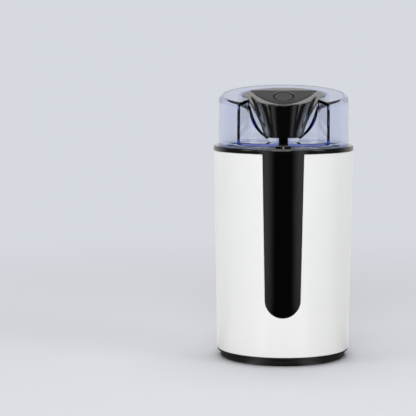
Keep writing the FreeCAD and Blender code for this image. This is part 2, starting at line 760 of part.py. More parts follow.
def rubber_feet():
    feet = []
    for x, y in around(FOOT_COUNT, FOOT_ANGLE, FOOT_CIRCLE_R):
        foot = disc(FOOT_R - FOOT_FIT, 0, COVER_Z + FOOT_SOCKET, x, y)
        feet.append(rounded(foot, FOOT_PROJECTION / 2, lambda box: box.ZMax < 0.01))
    return Part.makeCompound(feet)


def lid_solid(radius, low, drop, edge_round):
    """Cone under a sloping plane that lies drop under the lid's top, with a rounded edge."""
    body = taper(radius, low, LID_TOP_Z + LID_R).cut(above_lid_top(drop))
    top_low = LID_TOP_Z - drop - LID_R * LID_TAN - OVERRUN
    return rounded(body, edge_round, lambda box: box.ZMin > top_low and box.XLength > LID_R)


def notch_prism(wall, low):
    """Front recess of the lid in plan, grown by a wall all round."""
    front_y = -math.sqrt(LID_R ** 2 - NOTCH_HALF_FRONT ** 2)
    slope = (NOTCH_HALF_FRONT - NOTCH_HALF_BACK) / (NOTCH_BACK_Y - front_y)
    far_y = -1.5 * LID_R
    grow = wall * math.hypot(1, slope)
    back_y = NOTCH_BACK_Y + wall
    back_x = NOTCH_HALF_BACK + slope * (NOTCH_BACK_Y - back_y) + grow
    front_x = NOTCH_HALF_BACK + slope * (NOTCH_BACK_Y - far_y) + grow
    body = prism([(-front_x, far_y), (front_x, far_y), (back_x, back_y), (-back_x, back_y)],
                 low, LID_TOP_Z + LID_R)
    return rounded(body, NOTCH_ROUND + wall,
                   lambda box: box.ZLength > LID_H and box.YMin > NOTCH_BACK_Y - OVERRUN)


def horn_section(t, grow, drop):
    """Ellipse-like ring of the horn at height share t, on a plane that leans more and more."""
    share = t ** HORN_POWER
    top_r = BUTTON_R - BUTTON_RIM_STEP
    half_w = HORN_FOOT_HALF_W + (top_r - HORN_FOOT_HALF_W) * share + grow
    half_d = HORN_FOOT_HALF_D + (top_r - HORN_FOOT_HALF_D) * share + grow
    middle_y = HORN_FOOT_Y * (1 - share)
    level = BUTTON_FOOT_Z + t * (LID_TOP_Z - BUTTON_FOOT_Z) - drop
    lean = math.tan(math.radians(LID_TILT * t))
    points = []
    for i in range(HORN_POINTS):
        angle = 2 * math.pi * i / HORN_POINTS
        y = middle_y + half_d * math.sin(angle)
        points.append(Vector(half_w * math.cos(angle), y, level + y * lean))
    curve = Part.BSplineCurve()
    curve.interpolate(Points=points, PeriodicFlag=True)
    return Part.Wire(curve.toShape())


def horn(grow, drop):
    """Trumpet-shaped wing of the button; grown and lowered, it is the lid's pocket."""
    return Part.makeLoft([horn_section(t, grow, drop) for t in LOFT_SHARES], True, False)


def pocket(grow):
    """Room for the button's horn over its whole travel, with a given margin."""
    drop = BUTTON_TRAVEL + grow
    shaft = Part.makeLoft([horn_section(0, grow, drop), horn_section(0, grow, drop + EXTRA)], True, False)
    rim = tilted(disc(BUTTON_R + grow, LID_TOP_Z - BUTTON_RIM_H - drop, LID_TOP_Z + LID_R))
    body = joined([horn(grow, drop), shaft, rim])
    floor_z = NOTCH_FLOOR_Z - (grow - POCKET_GAP)
    return body.cut(block(-LID_R, LID_R, -LID_R, LID_R, floor_z - LID_R, floor_z))


def lid_shell():
    outer = lid_solid(lid_r, COLLAR_Z, 0, LID_EDGE_ROUND)
    hollow = lid_solid(lid_inner_r, COLLAR_Z + LID_LEDGE_H, LID_ROOF, LID_INNER_ROUND)
    hollow = hollow.fuse(disc(LID_LEDGE_R, COLLAR_Z - EXTRA, COLLAR_Z + LID_LEDGE_H + OVERRUN))
    spigot = ring(LID_SPIGOT_R - LID_SPIGOT_WALL, LID_SPIGOT_R, COLLAR_Z - LID_SPIGOT_H,
                  COLLAR_Z + LID_LEDGE_H / 2)
    walls = notch_prism(POCKET_WALL, NOTCH_FLOOR_Z - NOTCH_FLOOR_T).fuse(pocket(POCKET_GAP + POCKET_WALL))
    walls = walls.common(outer)
    body = joined([outer.cut(hollow), walls, spigot])
    guide = disc(GUIDE_R, NOTCH_FLOOR_Z - OVERRUN, NOTCH_FLOOR_Z + GUIDE_H, 0, GUIDE_Y)
    body = without(body, [notch_prism(0, NOTCH_FLOOR_Z), pocket(POCKET_GAP)]).fuse(guide)
    half_gap = KEY_W / 2 + LID_KEY_FIT
    key_back = TONGUE_Y + TONGUE_T / 2 + PLUNGER_FIT + SLEEVE_WALL + LID_KEY_FIT / 2
    gap = block(-half_gap, half_gap, -2 * LID_R, key_back, COLLAR_Z - EXTRA, NOTCH_FLOOR_Z + OVERRUN)
    bore = disc(GUIDE_POST_R + GUIDE_FIT, COLLAR_Z, NOTCH_FLOOR_Z + GUIDE_H + OVERRUN, 0, GUIDE_Y)
    return without(body, [gap, bore])


def prow_section(t):
    """Button's front at height share t: as round as the body, then turned back into the flanks."""
    share = t ** PROW_POWER
    half_w = PROW_FOOT_HALF_W + (PROW_TOP_HALF_W - PROW_FOOT_HALF_W) * share
    nose_y = PROW_FOOT_Y + (PROW_TOP_Y - PROW_FOOT_Y) * t
    flank_y = FLANK_FOOT_Y + (FLANK_TOP_Y - FLANK_FOOT_Y) * t ** FLANK_POWER
    back_y = flank_y + HORN_FOOT_HALF_D
    level = BUTTON_FOOT_Z + t * (LID_TOP_Z - BUTTON_FOOT_Z)
    lean = math.tan(math.radians(LID_TILT * t))
    side = []
    for across, backward in PROW_SIDE:
        x = across * half_w
        round_y = -math.sqrt(nose_y ** 2 - x ** 2)
        side.append((x, round_y + backward * (flank_y - round_y)))
    plan = [(-x, y) for x, y in reversed(side)] + [(0, nose_y)] + side
    front_at = [Vector(x, y, level + y * lean) for x, y in plan]
    back_x = PROW_BACK_SHARE * half_w
    back_at = [Vector(x, back_y, level + back_y * lean) for x in (back_x, -back_x)]
    front = Part.BSplineCurve()
    front.interpolate(Points=front_at)
    return Part.Wire([front.toShape(), Part.makeLine(front_at[-1], back_at[0]),
                      Part.makeLine(back_at[0], back_at[1]), Part.makeLine(back_at[1], front_at[0])])


def flank_cutter():
    """Everything in front of the concave flanks."""
    points = []
    for t in [-FLANK_RUN_OUT] + LOFT_SHARES + [1 + FLANK_RUN_OUT]:
        share = math.copysign(abs(t) ** FLANK_POWER, t)
        y = FLANK_FOOT_Y + (FLANK_TOP_Y - FLANK_FOOT_Y) * share
        points.append(Vector(-2 * BUTTON_R, y, BUTTON_FOOT_Z + t * (LID_TOP_Z - BUTTON_FOOT_Z)))
    curve = Part.BSplineCurve()
    curve.interpolate(Points=points)
    first, last = points[0], points[-1]
    far_y = -3 * BUTTON_R
    low = Vector(first.x, far_y, first.z)
    high = Vector(last.x, far_y, last.z)
    outline = Part.Wire([curve.toShape(), Part.makeLine(last, high), Part.makeLine(high, low),
                         Part.makeLine(low, first)])
    return Part.Face(outline).extrude(Vector(4 * BUTTON_R, 0, 0))


def scoop_floor_z():
    return LID_TOP_Z - SCOOP_DEPTH


def scoop_back_z():
    return LID_TOP_Z + SCOOP_BACK_Y * LID_TAN


def thumb_scoop():
    """Trough along Y whose back end rises on a slope to the button's top."""
    trough = rod_y(SCOOP_R, 0, scoop_floor_z() + SCOOP_R, -2 * BUTTON_R, 2 * BUTTON_R)
    size = 4 * BUTTON_R
    behind = block(-size, size, 0, size, -size, size)
    behind.rotate(Vector(0, 0, 0), Vector(1, 0, 0), SCOOP_SLOPE - 90)
    behind.translate(Vector(0, SCOOP_BACK_Y, scoop_back_z()))
    return trough.cut(behind)


def on_scoop_slope(shape):
    """Turns a level shape centred on the origin onto the scoop's back slope."""
    shape.rotate(Vector(0, 0, 0), Vector(1, 0, 0), SCOOP_SLOPE)
    drop = (SCOOP_BACK_Y - DISC_Y) * math.tan(math.radians(SCOOP_SLOPE))
    shape.translate(Vector(0, DISC_Y, scoop_back_z() - drop))
    return shape


def press_button():
    prow = Part.makeLoft([prow_section(t) for t in LOFT_SHARES], True, False)
    rim = tilted(disc(BUTTON_R, LID_TOP_Z - BUTTON_RIM_H, LID_TOP_Z))
    wing = horn(0, 0).fuse(rim).cut(flank_cutter())
    body = wing.fuse(prow).cut(above_lid_top(0))
    body = body.cut(thumb_scoop())
    tongue = block(-TONGUE_W / 2, TONGUE_W / 2, TONGUE_Y - TONGUE_T / 2, TONGUE_Y + TONGUE_T / 2,
                   TONGUE_Z, BUTTON_FOOT_Z + OVERRUN)
    body = body.fuse(tongue)
    seat = on_scoop_slope(disc(DISC_R + DISC_FIT, -DISC_T, 2 * EXTRA))
    ceiling = NOTCH_FLOOR_Z + GUIDE_H + BUTTON_SPRING_H
    cavity = disc(GUIDE_CAVITY_R, NOTCH_FLOOR_Z, ceiling, 0, GUIDE_Y)
    body = without(body, [seat, cavity])
    post = disc(GUIDE_POST_R, NOTCH_FLOOR_Z - NOTCH_FLOOR_T + PEG_FIT, ceiling + OVERRUN, 0, GUIDE_Y)
    pilot = disc(RETAINER_SCREW_R, 0, NOTCH_FLOOR_Z - NOTCH_FLOOR_T + RETAINER_SCREW_L, 0, GUIDE_Y)
    return body.fuse(post).cut(pilot)


def button_disc():
    return on_scoop_slope(disc(DISC_R, -DISC_T, -DISC_FIT))


def button_spring():
    low = NOTCH_FLOOR_Z + GUIDE_H
    return coil_spring(BUTTON_SPRING_R, BUTTON_SPRING_WIRE_R, low, low + BUTTON_SPRING_H,
                       BUTTON_SPRING_TURNS, 0, GUIDE_Y)


def button_screw():
    seat = NOTCH_FLOOR_Z - NOTCH_FLOOR_T
    washer = disc(RETAINER_R, seat - RETAINER_T, seat, 0, GUIDE_Y)
    head = disc(RETAINER_HEAD_R, seat - RETAINER_T - RETAINER_HEAD_H, seat - RETAINER_T, 0, GUIDE_Y)
    shank_top = seat + RETAINER_SCREW_L - OVERRUN
    shank = disc(RETAINER_SCREW_R - SCREW_FIT / 2, seat - RETAINER_T, shank_top, 0, GUIDE_Y)
    return joined([washer, head, shank])


def grinding_bowl():
    flange_z = DECK_Z + GASKET_T
    cup = disc(BOWL_OUT_R, BOWL_BOTTOM_Z, BOWL_RIM_Z)
    cup = rounded(cup, BOWL_CORNER_R, lambda box: box.ZMax < BOWL_BOTTOM_Z + TOUCH)
    skirt = ring(BOWL_LIP_R - BOWL_WALL, BOWL_LIP_R, flange_z, BOWL_RIM_Z)
    lip = ring(BOWL_R, BOWL_LIP_R, BOWL_RIM_Z - BOWL_WALL, BOWL_RIM_Z)
    flange = ring(BOWL_LIP_R - BOWL_WALL, BOWL_FLANGE_R, flange_z, flange_z + BOWL_WALL)
    body = joined([cup, lip, skirt, flange])
    body = rounded(body, BOWL_WALL / 2,
                   lambda box: box.ZMin > BOWL_RIM_Z - TOUCH and box.XMax > BOWL_LIP_R - TOUCH)
    hollow = disc(BOWL_R, BOWL_FLOOR_Z, BOWL_RIM_Z + EXTRA)
    hollow = rounded(hollow, BOWL_CORNER_R - BOWL_WALL, lambda box: box.ZMax < BOWL_FLOOR_Z + TOUCH)
    return without(body, [hollow, disc(SEAL_R, BOWL_BOTTOM_Z - EXTRA, BOWL_FLOOR_Z + EXTRA)])


def bowl_gasket():
    return ring(BOWL_OUT_R + BOWL_DECK_FIT, BOWL_FLANGE_R, DECK_Z, DECK_Z + GASKET_T)


def shaft_seal():
    flange = disc(SEAL_FLANGE_R, BOWL_FLOOR_Z, BOWL_FLOOR_Z + SEAL_FLANGE_T)
    neck = disc(SEAL_R, BOWL_BOTTOM_Z - SEAL_BELOW, BOWL_FLOOR_Z)
    bore = disc(SHAFT_R + SHAFT_FIT, BOWL_BOTTOM_Z - EXTRA, BOWL_FLOOR_Z + EXTRA)
    return joined([flange, neck]).cut(bore)


def blade_hub():
    return ring(SHAFT_R, HUB_R, HUB_Z, HUB_Z + HUB_H)


def blade_tip(taper_to, bend):
    """Blade's end beyond its flat: narrows towards one edge and bends up."""
    length = (BLADE_REACH - BLADE_FLAT) / math.cos(math.radians(bend))
    half = BLADE_W / 2
    edge = taper_to * half
    tip = prism([(0, -edge), (length, edge - taper_to * BLADE_TIP_W), (length, edge), (0, edge)], 0, BLADE_T)
    tip.rotate(Vector(0, 0, 0), Vector(0, 1, 0), -bend)
    tip.translate(Vector(BLADE_FLAT - BLADE_LAP, 0, BLADE_Z))
    return tip


def grinding_blade():
    flat = block(-BLADE_FLAT, BLADE_FLAT, -BLADE_W / 2, BLADE_W / 2, BLADE_Z, BLADE_Z + BLADE_T)
    eye = disc(BLADE_EYE_R, BLADE_Z, BLADE_Z + BLADE_T)
    low_tip = blade_tip(-1, BLADE_LOW_BEND).mirror(Vector(0, 0, 0), Vector(1, 0, 0))
    body = joined([flat, eye, blade_tip(1, BLADE_BEND), low_tip])
    return body.cut(disc(SHAFT_R, BLADE_Z - EXTRA, BLADE_Z + EXTRA))


def blade_nut():
    body = disc(NUT_R, NUT_Z, NUT_Z + NUT_H)
    body = rounded(body, NUT_CROWN, lambda box: box.ZMin > NUT_Z + NUT_H - TOUCH)
    flat = block(NUT_ACROSS_FLATS / 2, 2 * NUT_R, -NUT_R, NUT_R, NUT_Z, NUT_Z + NUT_H / 2)
    bore = disc(SHAFT_R, NUT_Z - EXTRA, NUT_Z + NUT_H - NUT_CROWN)
    return without(body, turned_copies(flat, NUT_SIDES) + [bore])


def motor_shaft():
    return disc(SHAFT_R, SHAFT_Z, NUT_Z + NUT_H - NUT_CROWN - SHAFT_TOP_GAP)


def bearing_bush(low):
    return ring(SHAFT_R + SHAFT_FIT, BUSH_R, low, low + BUSH_H)


def upper_bearing_bush():
    return bearing_bush(UPPER_Z)


def lower_bearing_bush():
    return bearing_bush(LOWER_TOP_Z - BUSH_H)


def motor_upper_bracket():
    end = DAMPER_X + BRACKET_END
    bar = block(-end, end, -BRACKET_HALF_W, BRACKET_HALF_W, UPPER_Z, BRACKET_TOP_Z)
    body = joined([bar, disc(HOUSING_R, UPPER_Z, UPPER_Z + BUSH_H)])
    tools = [disc(BUSH_R, UPPER_Z - EXTRA, UPPER_Z + BUSH_H + EXTRA)]
    for side in (-1, 1):
        tools.append(disc(BOLT_R + SCREW_FIT, UPPER_Z - OVERRUN, BRACKET_TOP_Z + OVERRUN, side * BOLT_X, 0))
        tools.append(disc(MOTOR_SCREW_R + SCREW_FIT, UPPER_Z - OVERRUN, BRACKET_TOP_Z + OVERRUN,
                          side * DAMPER_X, 0))
    return without(body, tools)


def motor_lower_bracket():
    end = BOLT_X + BRACKET_END
    bar = block(-end, end, -BRACKET_HALF_W, BRACKET_HALF_W, LOWER_Z, LOWER_TOP_Z)
    body = joined([bar, disc(HOUSING_R, LOWER_TOP_Z - BUSH_H, LOWER_TOP_Z)])
    tools = [disc(BUSH_R, LOWER_TOP_Z - BUSH_H - EXTRA, LOWER_TOP_Z + EXTRA)]
    tools += [disc(BOLT_R + SCREW_FIT, LOWER_Z - OVERRUN, LOWER_TOP_Z + OVERRUN, side * BOLT_X, 0)
              for side in (-1, 1)]
    return without(body, tools)


def motor_through_bolts():
    bolt = joined([
        disc(BOLT_R, LOWER_Z - OVERRUN, BRACKET_TOP_Z + OVERRUN, BOLT_X, 0),
        disc(BOLT_HEAD_R, LOWER_Z - BOLT_HEAD_H, LOWER_Z, BOLT_X, 0),
        disc(BOLT_HEAD_R, BRACKET_TOP_Z, BRACKET_TOP_Z + BOLT_HEAD_H, BOLT_X, 0),
    ])
    return mirrored_pair(bolt)


def motor_dampers():
    damper = ring(MOTOR_SCREW_R + SCREW_FIT, DAMPER_R, BRACKET_TOP_Z, MOTOR_DECK_Z, DAMPER_X, 0)
    return mirrored_pair(damper)


def motor_screws():
    screw = joined([
        disc(MOTOR_SCREW_R, UPPER_Z, MOTOR_DECK_TOP, DAMPER_X, 0),
        disc(MOTOR_SCREW_HEAD_R, MOTOR_DECK_TOP, MOTOR_DECK_TOP + MOTOR_SCREW_HEAD_H, DAMPER_X, 0),
    ])
    return mirrored_pair(screw)


def stator_laminations():
    body = block(-STACK_HALF_X, STACK_HALF_X, -STACK_HALF_Y, STACK_HALF_Y, STACK_Z, STACK_TOP_Z)
    body = rounded(body, STACK_CORNER_R, lambda box: box.ZLength > STACK_H - TOUCH)
    body = body.cut(disc(YOKE_R, STACK_Z - EXTRA, STACK_TOP_Z + EXTRA))
    poles = [sector(POLE_R, YOKE_R + OVERRUN, middle, POLE_HALF_ANGLE, STACK_Z, STACK_TOP_Z)
             for middle in (90, 270)]
    body = joined([body] + poles)
    return without(body, [disc(BOLT_R + SCREW_FIT, STACK_Z - EXTRA, STACK_TOP_Z + EXTRA, side * BOLT_X, 0)
                          for side in (-1, 1)])


def field_coils():
    coils = []
    out_r = YOKE_R - COIL_GAP
    for middle in (90, 270):
        frame = sector(COIL_R_IN, out_r, middle, COIL_HALF_ANGLE, STACK_Z - COIL_OVERHANG,
                       STACK_TOP_Z + COIL_OVERHANG)
        window = sector(POLE_R - OVERRUN, YOKE_R + OVERRUN, middle, POLE_HALF_ANGLE + COIL_GAP_ANGLE,
                        STACK_Z - COIL_GAP, STACK_TOP_Z + COIL_GAP)
        coils.append(frame.cut(window))
    return Part.makeCompound(coils)


def rotor_slots(width, depth, z0, z1):
    """Radial slots of the armature, cut from its rim inwards."""
    outer = POLE_R - AIR_GAP
    slot = block(outer - depth, outer + OVERRUN, -width / 2, width / 2, z0, z1)
    return turned_copies(slot, ROTOR_SLOTS)


def armature_core():
    body = ring(SHAFT_R, POLE_R - AIR_GAP, STACK_Z, STACK_TOP_Z)
    slots = rotor_slots(ROTOR_SLOT_W, ROTOR_SLOT_DEPTH, STACK_Z - OVERRUN, STACK_TOP_Z + OVERRUN)
    return without(body, slots)


def armature_winding():
    lower = ring(SHAFT_R, WINDING_R, STACK_Z - WINDING_H, STACK_Z)
    upper = ring(SHAFT_R, WINDING_R, STACK_TOP_Z, STACK_TOP_Z + WINDING_H)
    bars = rotor_slots(ROTOR_SLOT_W - 2 * WINDING_GAP, ROTOR_SLOT_DEPTH - WINDING_GAP, STACK_Z, STACK_TOP_Z)
    trim = ring(WINDING_R, 2 * POLE_R, STACK_Z - EXTRA, STACK_TOP_Z + EXTRA)
    return joined([lower, upper] + [bar.cut(trim) for bar in bars])


def commutator():
    body = ring(SHAFT_R, COMMUTATOR_R, COMMUTATOR_Z, COMMUTATOR_Z + COMMUTATOR_H)
    slot = block(COMMUTATOR_R - BAR_SLOT_DEPTH, COMMUTATOR_R + OVERRUN, -BAR_SLOT_W / 2, BAR_SLOT_W / 2,
                 COMMUTATOR_Z - OVERRUN, COMMUTATOR_Z + COMMUTATOR_H + OVERRUN)
    return without(body, turned_copies(slot, COMMUTATOR_BARS))


def brush_end_x():
    return COMMUTATOR_R + BRUSH_GAP + BRUSH_L


def brush_holders():
    half_w = BRUSH_HALF_W + BRUSH_FIT + HOLDER_WALL
    half_h = BRUSH_HALF_H + BRUSH_FIT + HOLDER_WALL
    start = COMMUTATOR_R + HOLDER_GAP
    box = block(start, HOLDER_END_X, -half_w, half_w, LOWER_TOP_Z, BRUSH_Z + half_h)
    inner_w = BRUSH_HALF_W + BRUSH_FIT
    inner_h = BRUSH_HALF_H + BRUSH_FIT
    channel = block(start - OVERRUN, HOLDER_END_X - HOLDER_WALL, -inner_w, inner_w, BRUSH_Z - inner_h,
                    BRUSH_Z + inner_h)
    return mirrored_pair(box.cut(channel))


def carbon_brushes():
    brush = block(COMMUTATOR_R + BRUSH_GAP, brush_end_x(), -BRUSH_HALF_W, BRUSH_HALF_W,
                  BRUSH_Z - BRUSH_HALF_H, BRUSH_Z + BRUSH_HALF_H)
    return mirrored_pair(brush)


def brush_springs():
    length = HOLDER_END_X - HOLDER_WALL - brush_end_x()
    spring = coil_spring(BRUSH_SPRING_R, BRUSH_SPRING_WIRE_R, 0, length, BRUSH_SPRING_TURNS)
    spring.rotate(Vector(0, 0, 0), Vector(0, 1, 0), 90)
    spring.translate(Vector(brush_end_x(), 0, BRUSH_Z))
    return Part.makeCompound(turned_copies(spring, 2))


def cooling_fan():
    hub = ring(SHAFT_R, FAN_HUB_R, FAN_Z, FAN_Z + FAN_H)
    plate = ring(SHAFT_R, FAN_R, FAN_Z, FAN_Z + FAN_PLATE_T)
    blade = block(FAN_HUB_R - OVERRUN, FAN_R - FAN_BLADE_INSET, -FAN_BLADE_T / 2, FAN_BLADE_T / 2, FAN_Z,
                  FAN_Z + FAN_H)
    return joined([hub, plate] + turned_copies(blade, FAN_BLADES))


def thermal_cutout():
    low = STACK_Z + (STACK_H - CUTOUT_H) / 2
    body = block(-CUTOUT_W / 2, CUTOUT_W / 2, STACK_HALF_Y, STACK_HALF_Y + CUTOUT_T, low, low + CUTOUT_H)
    return rounded(body, CUTOUT_ROUND, lambda box: box.YMin > STACK_HALF_Y + CUTOUT_T - TOUCH)


def switch_plunger():
    half_x = TONGUE_W / 2
    half_y = TONGUE_T / 2
    head = block(-half_x, half_x, TONGUE_Y - half_y, TONGUE_Y + half_y, PLUNGER_SHOULDER_Z, PLUNGER_TOP_Z)
    rod = disc(PLUNGER_ROD_R, LEVER_TIP_Z + PLUNGER_ROD_R, PLUNGER_SHOULDER_Z + OVERRUN, 0, TONGUE_Y)
    tip = Part.makeSphere(PLUNGER_ROD_R, Vector(0, TONGUE_Y, LEVER_TIP_Z + PLUNGER_ROD_R))
    return joined([head, rod, tip])


def plunger_spring():
    return coil_spring(PLUNGER_SPRING_R, PLUNGER_SPRING_WIRE_R, TOWER_Z, PLUNGER_SHOULDER_Z,
                       PLUNGER_SPRING_TURNS, 0, TONGUE_Y)


def switch_hole_points():
    first = SWITCH_X + (SWITCH_L - SWITCH_HOLE_PITCH) / 2
    return [(first, SWITCH_Z + SWITCH_HOLE_UP), (first + SWITCH_HOLE_PITCH, SWITCH_Z + SWITCH_HOLE_UP)]


def pin_x():
    return -LEVER_ARM + SWITCH_PIN_X


def micro_switch():
    front = SWITCH_BACK_Y - SWITCH_T
    body = block(SWITCH_X, SWITCH_X + SWITCH_L, front, SWITCH_BACK_Y, SWITCH_Z, SWITCH_TOP_Z)
    ears = [block(-LEVER_ARM - LEVER_EYE_R, -LEVER_ARM + LEVER_EYE_R, y, y + ear_t(), SWITCH_TOP_Z - OVERRUN,
                  PIVOT_Z + LEVER_EYE_R) for y in (front, SWITCH_BACK_Y - ear_t())]
    terminals = [block(x - TERMINAL_W / 2, x + TERMINAL_W / 2, SWITCH_MID_Y - TERMINAL_T / 2,
                       SWITCH_MID_Y + TERMINAL_T / 2, SWITCH_Z - TERMINAL_L, SWITCH_Z + OVERRUN)
                 for x in (SWITCH_X + TERMINAL_IN, SWITCH_X + SWITCH_L / 2,
                           SWITCH_X + SWITCH_L - TERMINAL_IN)]
    body = joined([body] + ears + terminals)
    tools = [rod_y(SWITCH_HOLE_R + SCREW_FIT, x, z, front - OVERRUN, SWITCH_BACK_Y + OVERRUN)
             for x, z in switch_hole_points()]
    tools.append(rod_y(LEVER_PIN_R, -LEVER_ARM, PIVOT_Z, front - OVERRUN, SWITCH_BACK_Y + OVERRUN))
    tools.append(disc(SWITCH_PIN_R + SWITCH_PIN_FIT, SWITCH_TOP_Z - SWITCH_PIN_SINK, SWITCH_TOP_Z + EXTRA,
                      pin_x(), SWITCH_MID_Y))
    return without(body, tools)


def ear_t():
    return (SWITCH_T - LEVER_W) / 2 - LEVER_GAP


def lever_pin():
    return rod_y(LEVER_PIN_R, -LEVER_ARM, PIVOT_Z, SWITCH_BACK_Y - SWITCH_T, SWITCH_BACK_Y)


def switch_lever():
    """Leaf that rises from its pin; its upper side passes LEVER_GAP under the plunger's tip."""
    front = SWITCH_MID_Y - LEVER_W / 2
    length = LEVER_END / math.cos(math.radians(LEVER_REST))
    leaf = block(0, length, front, front + LEVER_W, -LEVER_T / 2, LEVER_T / 2)
    leaf.rotate(Vector(0, 0, 0), Vector(0, 1, 0), -LEVER_REST)
    leaf.translate(Vector(-LEVER_ARM, 0, PIVOT_Z))
    eye = rod_y(LEVER_EYE_R, -LEVER_ARM, PIVOT_Z, front, front + LEVER_W)
    bore = rod_y(LEVER_PIN_R + SHAFT_FIT, -LEVER_ARM, PIVOT_Z, front - OVERRUN, front + LEVER_W + OVERRUN)
    return joined([leaf, eye]).cut(bore)


def pin_top_z():
    rise = SWITCH_PIN_X * math.tan(math.radians(LEVER_REST))
    return PIVOT_Z + rise - LEVER_T - LEVER_GAP - SWITCH_PIN_R / 2


def switch_pin():
    top = pin_top_z()
    stroke = BUTTON_TRAVEL * SWITCH_PIN_X / LEVER_ARM
    low = SWITCH_TOP_Z - SWITCH_PIN_SINK + stroke + PLUNGER_FIT
    body = disc(SWITCH_PIN_R, low, top, pin_x(), SWITCH_MID_Y)
    return rounded(body, SWITCH_PIN_R / 2, lambda box: box.ZMin > top - TOUCH)


def switch_screws():
    screws = []
    for x, z in switch_hole_points():
        shank = rod_y(SWITCH_HOLE_R, x, z, SWITCH_BACK_Y - SWITCH_T, SWITCH_BACK_Y + SWITCH_BRACKET_T)
        head_y = SWITCH_BACK_Y - SWITCH_T - SWITCH_SCREW_HEAD_H
        head = rod_y(SWITCH_SCREW_HEAD_R, x, z, head_y, head_y + SWITCH_SCREW_HEAD_H)
        screws.append(shank.fuse(head))
    y = SWITCH_BACK_Y + SWITCH_BRACKET_T + SWITCH_FLANGE_D / 2
    for side in (-1, 1):
        low = MOTOR_DECK_Z - SWITCH_BRACKET_T
        shank = disc(SWITCH_HOLE_R, low, MOTOR_DECK_TOP, side * BRACKET_SCREW_X, y)
        head = disc(SWITCH_SCREW_HEAD_R, MOTOR_DECK_TOP, MOTOR_DECK_TOP + SWITCH_SCREW_HEAD_H,
                    side * BRACKET_SCREW_X, y)
        screws.append(shank.fuse(head))
    return Part.makeCompound(screws)


def switch_bracket():
    back = SWITCH_BACK_Y + SWITCH_BRACKET_T
    plate = block(SWITCH_X, SWITCH_X + SWITCH_L, SWITCH_BACK_Y, back, SWITCH_Z, MOTOR_DECK_Z)
    flange = block(-SWITCH_FLANGE_HALF_W, SWITCH_X + SWITCH_L, SWITCH_BACK_Y, back + SWITCH_FLANGE_D,
                   MOTOR_DECK_Z - SWITCH_BRACKET_T, MOTOR_DECK_Z)
    body = joined([plate, flange])
    tools = [rod_y(SWITCH_HOLE_R + SCREW_FIT, x, z, SWITCH_BACK_Y - OVERRUN, back + OVERRUN)
             for x, z in switch_hole_points()]
    tools += [disc(SWITCH_HOLE_R + SCREW_FIT, MOTOR_DECK_Z - EXTRA, MOTOR_DECK_Z + OVERRUN,
                   side * BRACKET_SCREW_X, back + SWITCH_FLANGE_D / 2) for side in (-1, 1)]
    return without(body, tools)


def cord_gland():
    seat = gland_seat_y()
    inner = chassis_inner_r(GLAND_Z)
    flange = rod_y(GLAND_FLANGE_R, 0, GLAND_Z, seat, seat + GLAND_FLANGE_T)
    neck = rod_y(GLAND_NECK_R, 0, GLAND_Z, inner - GLAND_INSIDE, seat)
    clip = rod_y(GLAND_CLIP_R, 0, GLAND_Z, inner - GLAND_INSIDE, inner - GLAND_CLIP_GAP)
    bore = rod_y(GLAND_BORE_R, 0, GLAND_Z, inner - GLAND_INSIDE - OVERRUN, seat + EXTRA)
    return joined([flange, neck, clip]).cut(bore)


def terminal_block():
    back_y = TERMINAL_BLOCK_FRONT_Y + TERMINAL_BLOCK_D
    top = FLOOR_Z + TERMINAL_BLOCK_H
    body = block(-TERMINAL_BLOCK_L / 2, TERMINAL_BLOCK_L / 2, TERMINAL_BLOCK_FRONT_Y, back_y, FLOOR_Z, top)
    pitch = TERMINAL_BLOCK_L / TERMINAL_BLOCK_WAYS
    middle_y = TERMINAL_BLOCK_FRONT_Y + TERMINAL_BLOCK_D / 2
    wire_z = FLOOR_Z + TERMINAL_BLOCK_H / 3
    tools = []
    for i in range(TERMINAL_BLOCK_WAYS):
        x = -TERMINAL_BLOCK_L / 2 + pitch * (i + 0.5)
        tools.append(disc(TERMINAL_BLOCK_SCREW_R, wire_z, top + OVERRUN, x, middle_y))
        tools.append(rod_y(TERMINAL_BLOCK_SCREW_R, x, wire_z, TERMINAL_BLOCK_FRONT_Y - OVERRUN,
                           back_y + OVERRUN))
    return without(body, tools)


def suppression_capacitor():
    front_y = CAPACITOR_Y - CAPACITOR_D / 2
    body = block(-CAPACITOR_L / 2, CAPACITOR_L / 2, front_y, front_y + CAPACITOR_D, FLOOR_Z,
                 FLOOR_Z + CAPACITOR_H)
    return rounded(body, CAPACITOR_ROUND, lambda box: box.ZLength > CAPACITOR_H - TOUCH)


SUB_PARTS = [
    outer_shell, front_inlay, inner_chassis, top_collar, collar_front_block, collar_screws, base_cover,
    base_screws, rubber_feet, cord_gland, lid_shell, press_button, button_disc, button_spring, button_screw,
    grinding_bowl, bowl_gasket, shaft_seal, blade_hub, grinding_blade, blade_nut, motor_shaft,
    upper_bearing_bush, lower_bearing_bush, motor_upper_bracket, motor_lower_bracket, motor_through_bolts,
    motor_dampers, motor_screws, stator_laminations, field_coils, armature_core, armature_winding, commutator,
    brush_holders, carbon_brushes, brush_springs, cooling_fan, thermal_cutout, switch_plunger, plunger_spring,
    micro_switch, lever_pin, switch_lever, switch_pin, switch_screws, switch_bracket, terminal_block,
    suppression_capacitor,
]

os.makedirs("parts", exist_ok=True)
for make in SUB_PARTS:
    make().exportStep("parts/" + make.__name__ + ".step")
